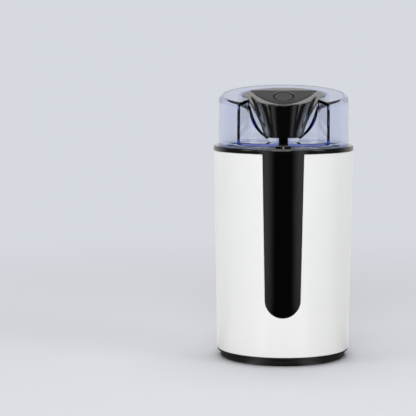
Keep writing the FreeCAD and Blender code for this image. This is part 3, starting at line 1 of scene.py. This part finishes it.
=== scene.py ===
import bpy
import json
import math
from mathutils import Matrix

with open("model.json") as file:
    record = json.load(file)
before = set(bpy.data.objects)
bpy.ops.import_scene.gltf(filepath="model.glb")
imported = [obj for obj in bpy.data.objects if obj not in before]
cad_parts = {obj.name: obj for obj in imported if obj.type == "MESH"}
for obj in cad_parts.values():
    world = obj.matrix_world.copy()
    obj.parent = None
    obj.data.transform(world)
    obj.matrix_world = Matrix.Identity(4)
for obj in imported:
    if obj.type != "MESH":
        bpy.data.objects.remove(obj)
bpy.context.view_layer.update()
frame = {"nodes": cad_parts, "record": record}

# Electric spice grinder in metres: front towards -Y, +Z up, feet on z = 0.
MM = 0.001
WHITE = (1, 1, 1, 1)
PALE_TONE = "d6d9e0"
GRINDER_MIDDLE = (0, 0, 0.1)

# the press button's round disc, which slopes with the thumb scoop
DISC_MIDDLE_Y_MM = 8.9
DISC_SLOPE = math.radians(25)
# radius at which the painted shade on the disc's rim begins
DISC_PAINTED_SHADE_RIM_MM = 6.3

# brightness of the studio as the polished parts mirror it, where 1 is white
FRONT_DARK_FLOOR = 0.01
FRONT_DARK_AIR = 0.03
SIDE_PANEL = 0.8
BACK_WALL = 0.7
ROOM_LIGHT = 0.35

# the photo's viewpoint: metres in front and up, lens in mm, degrees down and to the left
CAMERA_BACK = 1.2285
CAMERA_UP = 0.2332
LENS_MM = 152.1
LOOK_DOWN = 5.98
LOOK_LEFT = 2.46


def linear(sheet_colour):
    """Six-digit sRGB colour to the linear values that a shader takes."""
    shares = [int(sheet_colour[i:i + 2], 16) / 255 for i in (0, 2, 4)]
    return tuple(s / 12.92 if s <= 0.04045 else ((s + 0.055) / 1.055) ** 2.4 for s in shares) + (1.0,)


def add(tree, kind, settings=None, links=None):
    """Adds a node, fills in its settings and sockets, and links (node, output) pairs into it."""
    node = tree.nodes.new(kind)
    for key, value in (settings or {}).items():
        if isinstance(key, int) or key in node.inputs:
            node.inputs[key].default_value = value
        else:
            setattr(node, key, value)
    for key, (source, output) in (links or {}).items():
        tree.links.new(source.outputs[output], node.inputs[key])
    return node


def finish_material(name, **sockets):
    """New material with one plain shader; the sockets hold what is the same all over."""
    material = bpy.data.materials.new(name)
    material.use_nodes = True
    tree = material.node_tree
    tree.nodes.clear()
    shader = add(tree, "ShaderNodeBsdfPrincipled", sockets)
    add(tree, "ShaderNodeOutputMaterial", links={"Surface": (shader, "BSDF")})
    place = add(tree, "ShaderNodeTexCoord")
    return material, tree, shader, place


def only(tree, kind):
    """The one node of a kind in a tree."""
    return [node for node in tree.nodes if node.type == kind][0]


def grain(tree, place, size_mm, detail=4.0, stretch=(1, 1, 1)):
    """Noise whose features measure about size_mm; stretch squeezes it along an axis."""
    scaled = add(tree, "ShaderNodeMapping", {"Scale": stretch}, {"Vector": (place, "Object")})
    return add(tree, "ShaderNodeTexNoise", {"Scale": 1 / (size_mm * MM), "Detail": detail},
               {"Vector": (scaled, "Vector")})


def raised(tree, shader, pattern, depth_mm, strength, edge_mm=0.15):
    """Bump from a pattern, with its depth in millimetres, over edges softened to a small radius."""
    edge = add(tree, "ShaderNodeBevel", {"samples": 6, "Radius": edge_mm * MM})
    bump = add(tree, "ShaderNodeBump", {"Strength": strength, "Distance": depth_mm * MM},
               {"Height": pattern, "Normal": (edge, "Normal")})
    tree.links.new(bump.outputs["Normal"], shader.inputs["Normal"])


def tinted(tree, shader, pattern, dark, light):
    """Colour that wanders between two close tones along a pattern."""
    tone = add(tree, "ShaderNodeMix", {"data_type": "RGBA", 6: linear(dark), 7: linear(light)}, {0: pattern})
    tree.links.new(tone.outputs[2], shader.inputs["Base Color"])


def worn_gloss(tree, shader, pattern, low, high):
    """Roughness that wanders from low to high along a pattern."""
    rough = add(tree, "ShaderNodeMapRange", {"To Min": low, "To Max": high}, {"Value": pattern})
    tree.links.new(rough.outputs["Result"], shader.inputs["Roughness"])


def gloss_moulding(name, dark, light, low, high, ripple, edge_mm=0.3, ior=1.53):
    """Polished injection moulding: faint flow ripple, slight handling haze and fine scuffs."""
    material, tree, shader, place = finish_material(name, IOR=ior)
    flow = grain(tree, place, 26, 2.0)
    tinted(tree, shader, (flow, "Fac"), dark, light)
    haze = grain(tree, place, 9, 6.0)
    scuff = grain(tree, place, 1.2, 3.0, (1, 1, 0.06))
    worn = add(tree, "ShaderNodeMath", {"operation": "MULTIPLY"}, {0: (haze, "Fac"), 1: (scuff, "Fac")})
    worn_gloss(tree, shader, (worn, "Value"), low, high)
    raised(tree, shader, (flow, "Fac"), 0.05, ripple, edge_mm)
    return material


def disc_with_painted_rim_shade(material):
    """Takes the shine off the sloping disc's rim as painted shade: a dark ring, wider than the real joint, that
    stands in for the shadow in the rim's chamfer and the joint around it.
    """
    tree = material.node_tree
    middle_y = -DISC_MIDDLE_Y_MM * MM / math.cos(DISC_SLOPE)
    level = add(tree, "ShaderNodeMapping",
                {"Location": (0, middle_y, 0), "Scale": (1, 1 / math.cos(DISC_SLOPE), 0)},
                {"Vector": (only(tree, "TEX_COORD"), "Object")})
    out = add(tree, "ShaderNodeVectorMath", {"operation": "LENGTH"}, {0: (level, "Vector")})
    # painted shade: no reflection beyond the rim radius, so the rim shows as a dark ring
    painted_rim_shade = add(tree, "ShaderNodeMapRange",
                {"From Min": DISC_PAINTED_SHADE_RIM_MM * MM, "From Max": (DISC_PAINTED_SHADE_RIM_MM + 0.2) * MM,
                 "To Min": 0.5, "To Max": 0.0},
                {"Value": (out, "Value")})
    tree.links.new(painted_rim_shade.outputs["Result"], only(tree, "BSDF_PRINCIPLED").inputs["Specular IOR Level"])
    return material


def matt_moulding(name, dark, light, low, high, texture_mm=0.35, depth_mm=0.02, ior=1.53):
    """Spark-eroded moulding: fine even texture with a slightly uneven sheen."""
    material, tree, shader, place = finish_material(name, IOR=ior)
    tone = grain(tree, place, 14, 4.0)
    tinted(tree, shader, (tone, "Fac"), dark, light)
    worn_gloss(tree, shader, (tone, "Fac"), low, high)
    texture = grain(tree, place, texture_mm, 2.0)
    raised(tree, shader, (texture, "Fac"), depth_mm, 0.6)
    return material


def round_z(tree, place):
    """Distance from the grinder's axis and height, as coordinates for turning marks."""
    parts = add(tree, "ShaderNodeSeparateXYZ", links={"Vector": (place, "Object")})
    level = add(tree, "ShaderNodeCombineXYZ", links={"X": (parts, "X"), "Y": (parts, "Y")})
    out = add(tree, "ShaderNodeVectorMath", {"operation": "LENGTH"}, {0: (level, "Vector")})
    return add(tree, "ShaderNodeCombineXYZ", links={"X": (out, "Value"), "Z": (parts, "Z")})


def turned_metal(name, dark, light, low, high, mark_mm):
    """Metal polished while it spins: rings of fine marks about the axis."""
    material, tree, shader, place = finish_material(name, Metallic=1.0)
    ring = round_z(tree, place)
    marks = add(tree, "ShaderNodeTexNoise", {"Scale": 1 / (mark_mm * MM), "Detail": 5.0},
                {"Vector": (ring, "Vector")})
    tinted(tree, shader, (marks, "Fac"), dark, light)
    worn_gloss(tree, shader, (marks, "Fac"), low, high)
    raised(tree, shader, (marks, "Fac"), 0.01, 0.4)
    return material


def ground_metal(name, dark, light, low, high, stretch, mark_mm=0.25):
    """Metal ground or drawn in one direction: long fine lines."""
    material, tree, shader, place = finish_material(name, Metallic=1.0)
    lines = grain(tree, place, mark_mm, 4.0, stretch)
    cloud = grain(tree, place, 6, 3.0)
    tinted(tree, shader, (cloud, "Fac"), dark, light)
    worn_gloss(tree, shader, (lines, "Fac"), low, high)
    raised(tree, shader, (lines, "Fac"), 0.008, 0.5)
    return material


def plated_metal(name, dark, light, low, high, spangle_mm):
    """Zinc coating with crystals of slightly different tone and gloss."""
    material, tree, shader, place = finish_material(name, Metallic=1.0)
    spangle = add(tree, "ShaderNodeTexVoronoi", {"Scale": 1 / (spangle_mm * MM)}, {"Vector": (place, "Object")})
    tinted(tree, shader, (spangle, "Color"), dark, light)
    worn_gloss(tree, shader, (spangle, "Color"), low, high)
    return material


def stacked_metal(name, dark, light, pitch_mm, low, high, direction="Z"):
    """Layers or windings of one pitch: a groove between each and the next."""
    material, tree, shader, place = finish_material(name, Metallic=1.0)
    turns = 20 * pitch_mm * MM / (2 * math.pi)
    layers = add(tree, "ShaderNodeTexWave",
                 {"bands_direction": direction, "Scale": 1 / turns, "Distortion": 0.4},
                 {"Vector": (place, "Object")})
    tinted(tree, shader, (layers, "Fac"), dark, light)
    worn_gloss(tree, shader, (layers, "Fac"), high, low)
    raised(tree, shader, (layers, "Fac"), pitch_mm / 3, 0.8)
    return material


def clear_moulding(name, tint, depth):
    """Clear polished plastic whose blue tint shows where the light passes through a long way."""
    material, tree, shader, place = finish_material(
        name, **{"Transmission Weight": 1.0, "IOR": 1.57, "Base Color": WHITE})
    haze = grain(tree, place, 8, 5.0)
    scuff = grain(tree, place, 0.8, 3.0, (1, 1, 0.08))
    worn = add(tree, "ShaderNodeMath", {"operation": "MULTIPLY"}, {0: (haze, "Fac"), 1: (scuff, "Fac")})
    worn_gloss(tree, shader, (worn, "Value"), 0.0, 0.03)
    body = add(tree, "ShaderNodeVolumeAbsorption", {"Color": tint, "Density": depth})
    tree.links.new(body.outputs["Volume"], only(tree, "OUTPUT_MATERIAL").inputs["Volume"])
    return material


FINISHES = {
    # polished white ABS of the body
    "white_shell": gloss_moulding("polished_white_ABS", "e9e9e7", "efefed", 0.12, 0.3, 0.03, 0.8),
    # piano-black ABS of the strip, collar and button
    "black_inlay": gloss_moulding("piano_black_ABS_strip", "030303", "050505", 0.03, 0.2, 0.04),
    "black_collar": gloss_moulding("piano_black_ABS_collar", "040404", "070707", 0.05, 0.24, 0.05),
    "black_button": gloss_moulding("piano_black_ABS_button", "020202", "040404", 0.04, 0.16, 0.03, 1.6),
    # the disc's rim carries painted shade, a dark ring standing in for its shadowed chamfer and joint
    "button_disc": disc_with_painted_rim_shade(gloss_moulding("piano_black_ABS_disc_painted_rim_shade", "040404", "070707", 0.05, 0.16, 0.03)),
    # spark-eroded mouldings
    "black_base": matt_moulding("spark_eroded_black_ABS", "0a0a0b", "101011", 0.32, 0.45),
    "grey_chassis": matt_moulding("spark_eroded_grey_ABS", "3c3c3e", "454547", 0.45, 0.6),
    "hub_plastic": matt_moulding("moulded_black_nylon", "151515", "1d1d1d", 0.4, 0.55),
    "fan_plastic": matt_moulding("moulded_natural_nylon", "cfcdc4", "dcdad2", 0.4, 0.55),
    "cutout_case": matt_moulding("phenolic_dark_brown", "1c1613", "261e19", 0.4, 0.55),
    "plunger_plastic": matt_moulding("moulded_white_acetal", "dcdbd6", "e8e7e3", 0.3, 0.45),
    "switch_case": matt_moulding("moulded_black_PBT", "101010", "181818", 0.4, 0.55),
    "switch_pin_plastic": matt_moulding("moulded_red_acetal", "8f1d17", "a5251e", 0.3, 0.45),
    "terminal_plastic": matt_moulding("moulded_natural_polyamide", "d9d5c6", "e5e1d4", 0.4, 0.55),
    "graphite": matt_moulding("pressed_graphite", "1b1b1c", "29292a", 0.45, 0.6, 0.6, 0.03),
    # rubbers
    "foot_rubber": matt_moulding("moulded_black_EPDM_foot", "0e0e0e", "191918", 0.65, 0.85, 0.5, 0.03, 1.52),
    "gland_rubber": matt_moulding("moulded_black_PVC_gland", "0d0d0e", "171717", 0.5, 0.7, 0.5, 0.02, 1.53),
    "seal_rubber": matt_moulding("moulded_black_silicone", "161616", "212121", 0.55, 0.75, 0.6, 0.02, 1.43),
    # metals
    "bowl_steel": turned_metal("spun_stainless_steel", "b4b3b0", "cfceca", 0.18, 0.34, 0.35),
    "nut_metal": turned_metal("turned_aluminium", "c2c3c5", "d8d9da", 0.2, 0.36, 0.3),
    "bush_bronze": turned_metal("sintered_bronze", "8a6138", "a3774a", 0.35, 0.5, 0.4),
    "copper_bar": turned_metal("turned_copper", "b4683f", "cc8055", 0.22, 0.4, 0.3),
    "blade_steel": ground_metal("ground_blade_steel", "b9b9b8", "d2d2d0", 0.14, 0.3, (0.05, 1, 1)),
    "shaft_steel": ground_metal("ground_shaft_steel", "a3a3a2", "bcbcba", 0.12, 0.28, (1, 1, 0.05)),
    "spring_wire": ground_metal("drawn_spring_wire", "9d9d9c", "b6b6b4", 0.2, 0.36, (1, 1, 0.1)),
    "lever_steel": ground_metal("rolled_bright_steel", "b0b0ad", "c6c6c3", 0.18, 0.34, (0.05, 1, 1)),
    "holder_brass": ground_metal("pressed_brass_sheet", "b2924f", "c9a965", 0.2, 0.38, (0.05, 1, 1)),
    "zinc_screw": plated_metal("zinc_plated_screw_steel", "a9aaa8", "c3c4c1", 0.2, 0.36, 1.2),
    "bracket_steel": plated_metal("galvanised_bracket_steel", "9fa2a4", "babdbe", 0.26, 0.42, 4.0),
    "lamination_steel": stacked_metal("stacked_silicon_steel", "4a4b4d", "77787a", 0.5, 0.35, 0.6),
    "copper_winding": stacked_metal("varnished_copper_wire", "6d2f16", "b8623a", 0.45, 0.2, 0.5),
    # clear and coloured mouldings
    "clear_lid": clear_moulding("polished_clear_SAN", (0.12, 0.28, 0.8, 1), 58),
    "capacitor_case": gloss_moulding("moulded_yellow_polypropylene", "b8901f", "c99f2a", 0.2, 0.4, 0.06),
}

def dress(piece, finish):
    """Gives a piece its finish, in every material slot that it has."""
    if not piece.data.materials:
        piece.data.materials.append(None)
    for index in range(len(piece.data.materials)):
        piece.data.materials[index] = finish


def soft_lamp(name, spot, width, height, power):
    """Rectangular soft lamp that faces the middle of the grinder."""
    light = bpy.data.lights.new(name, "AREA")
    light.shape = "RECTANGLE"
    light.size = width
    light.size_y = height
    light.energy = power
    lamp = bpy.data.objects.new(name, light)
    bpy.context.scene.collection.objects.link(lamp)
    lamp.location = spot
    x, y, z = [to - at for to, at in zip(GRINDER_MIDDLE, spot)]
    lamp.rotation_euler = (math.atan2(math.hypot(x, y), -z), 0, math.atan2(y, x) - math.pi / 2)


def mirrored_studio(tree, place, output_name, in_front):
    """Brightness of the studio in each direction, as the polished parts mirror it.

    Dark straight in front, a tall soft panel on each side, a pale wall low down behind and a pale ceiling."""
    parts = add(tree, "ShaderNodeSeparateXYZ", links={"Vector": (place, output_name)})
    forward = add(tree, "ShaderNodeMath", {"operation": "MULTIPLY", 1: -1.0}, {0: (parts, "Y")})
    turn = add(tree, "ShaderNodeMath", {"operation": "ARCTAN2"}, {0: (parts, "X"), 1: (forward, "Value")})
    aside = add(tree, "ShaderNodeMath", {"operation": "ABSOLUTE"}, {0: (turn, "Value")})
    swell = {}
    # start and end of the change in direction, then the brightness before and after it
    for name, direction, start, end, low, high in [
            ("panel_front", (aside, "Value"), math.radians(12), math.radians(30), in_front, SIDE_PANEL),
            ("panel_back", (aside, "Value"), math.radians(32), math.radians(42), 1.0, 0.15),
            ("wall_side", (aside, "Value"), math.radians(95), math.radians(135), 0.0, BACK_WALL),
            ("wall_top", (parts, "Z"), 0.15, 0.6, 1.0, 0.1),
            ("ceiling", (parts, "Z"), 0.6, 0.95, 0.0, 1.0)]:
        swell[name] = add(tree, "ShaderNodeMapRange",
                          {"interpolation_type": "SMOOTHSTEP", "From Min": start, "From Max": end,
                           "To Min": low, "To Max": high}, {"Value": direction})
    panels = add(tree, "ShaderNodeMath", {"operation": "MULTIPLY"},
                 {0: (swell["panel_front"], "Result"), 1: (swell["panel_back"], "Result")})
    back_wall = add(tree, "ShaderNodeMath", {"operation": "MULTIPLY"},
                    {0: (swell["wall_side"], "Result"), 1: (swell["wall_top"], "Result")})
    walls = add(tree, "ShaderNodeMath", {"operation": "ADD"}, {0: (panels, "Value"), 1: (back_wall, "Value")})
    return add(tree, "ShaderNodeMath", {"operation": "ADD"},
               {0: (walls, "Value"), 1: (swell["ceiling"], "Result")})


def pale_floor():
    """Pale painted floor that keeps the shadow and turns into the pale backdrop farther away."""
    bpy.ops.object.select_all(action="DESELECT")
    bpy.ops.mesh.primitive_plane_add(size=12, location=(0, 0, 0))
    floor = bpy.context.object
    floor.name = "pale_floor"
    paint, tree, shader, place = finish_material("matt_pale_paint", Roughness=0.85, IOR=1.5)
    speck = grain(tree, place, 900, 2.0)
    tinted(tree, shader, (speck, "Fac"), "c9cacf", "cecfd4")
    ray = add(tree, "ShaderNodeLightPath")
    away = add(tree, "ShaderNodeVectorMath", {"operation": "LENGTH"}, {0: (place, "Object")})
    fade = add(tree, "ShaderNodeMapRange",
               {"interpolation_type": "SMOOTHSTEP", "From Min": 0.12, "From Max": 0.75},
               {"Value": (away, "Value")})
    pale = add(tree, "ShaderNodeEmission", {"Color": linear(PALE_TONE), "Strength": 1.0})
    seen = add(tree, "ShaderNodeMixShader",
               links={0: (fade, "Result"), 1: (shader, "BSDF"), 2: (pale, "Emission")})
    studio = mirrored_studio(tree, place, "Object", FRONT_DARK_FLOOR)
    mirrored = add(tree, "ShaderNodeEmission", {"Color": WHITE}, {"Strength": (studio, "Value")})
    # what is seen through the clear lid counts as glossy too, and keeps the pale floor
    by_mirror = add(tree, "ShaderNodeMath", {"operation": "SUBTRACT", "use_clamp": True},
                    {0: (ray, "Is Glossy Ray"), 1: (ray, "Is Transmission Ray")})
    either = add(tree, "ShaderNodeMixShader",
                 links={0: (by_mirror, "Value"), 1: (seen, "Shader"), 2: (mirrored, "Emission")})
    tree.links.new(either.outputs["Shader"], only(tree, "OUTPUT_MATERIAL").inputs["Surface"])
    floor.data.materials.append(paint)


def pale_studio():
    """Pale backdrop for what is seen directly or through the lid, and soft light from all round."""
    world = bpy.data.worlds.new("pale_studio")
    bpy.context.scene.world = world
    world.use_nodes = True
    tree = world.node_tree
    tree.nodes.clear()
    ray = add(tree, "ShaderNodeLightPath")
    place = add(tree, "ShaderNodeTexCoord")
    soft_light = add(tree, "ShaderNodeBackground", {"Color": WHITE, "Strength": ROOM_LIGHT})
    studio = mirrored_studio(tree, place, "Generated", FRONT_DARK_AIR)
    mirrored = add(tree, "ShaderNodeBackground", {"Color": WHITE}, {"Strength": (studio, "Value")})
    backdrop = add(tree, "ShaderNodeBackground", {"Color": linear(PALE_TONE), "Strength": 1.0})
    seen = add(tree, "ShaderNodeMath", {"operation": "MAXIMUM"},
               {0: (ray, "Is Camera Ray"), 1: (ray, "Is Transmission Ray")})
    unseen = add(tree, "ShaderNodeMixShader",
                 links={0: (ray, "Is Glossy Ray"), 1: (soft_light, "Background"), 2: (mirrored, "Background")})
    either = add(tree, "ShaderNodeMixShader",
                 links={0: (seen, "Value"), 1: (unseen, "Shader"), 2: (backdrop, "Background")})
    add(tree, "ShaderNodeOutputWorld", links={"Surface": (either, "Shader")})


def front_camera():
    """Camera in front and a little above the lid, where the photo was taken from."""
    lens = bpy.data.cameras.new("front_camera")
    lens.sensor_width = 36
    lens.lens = LENS_MM
    lens.clip_end = 50
    camera = bpy.data.objects.new("front_camera", lens)
    bpy.context.scene.collection.objects.link(camera)
    camera.location = (0, -CAMERA_BACK, CAMERA_UP)
    camera.rotation_euler = (math.radians(90 - LOOK_DOWN), 0, math.radians(LOOK_LEFT))
    bpy.context.scene.camera = camera
    bpy.context.scene.view_settings.view_transform = "Standard"


for part in frame["record"]["subparts"]:
    dress(frame["nodes"][part["node"]], FINISHES[part["material_slot"]])

soft_lamp("left_window_lamp", (-1.35, -0.75, 0.75), 0.55, 1.3, 6.5)
soft_lamp("right_window_lamp", (1.35, -0.75, 0.75), 0.55, 1.3, 6)
soft_lamp("front_lamp", (-0.1, -1.5, 0.85), 0.9, 0.6, 12.4)
soft_lamp("overhead_lamp", (0, 0.25, 1.6), 1.2, 1.0, 13)
pale_floor()
pale_studio()
front_camera()
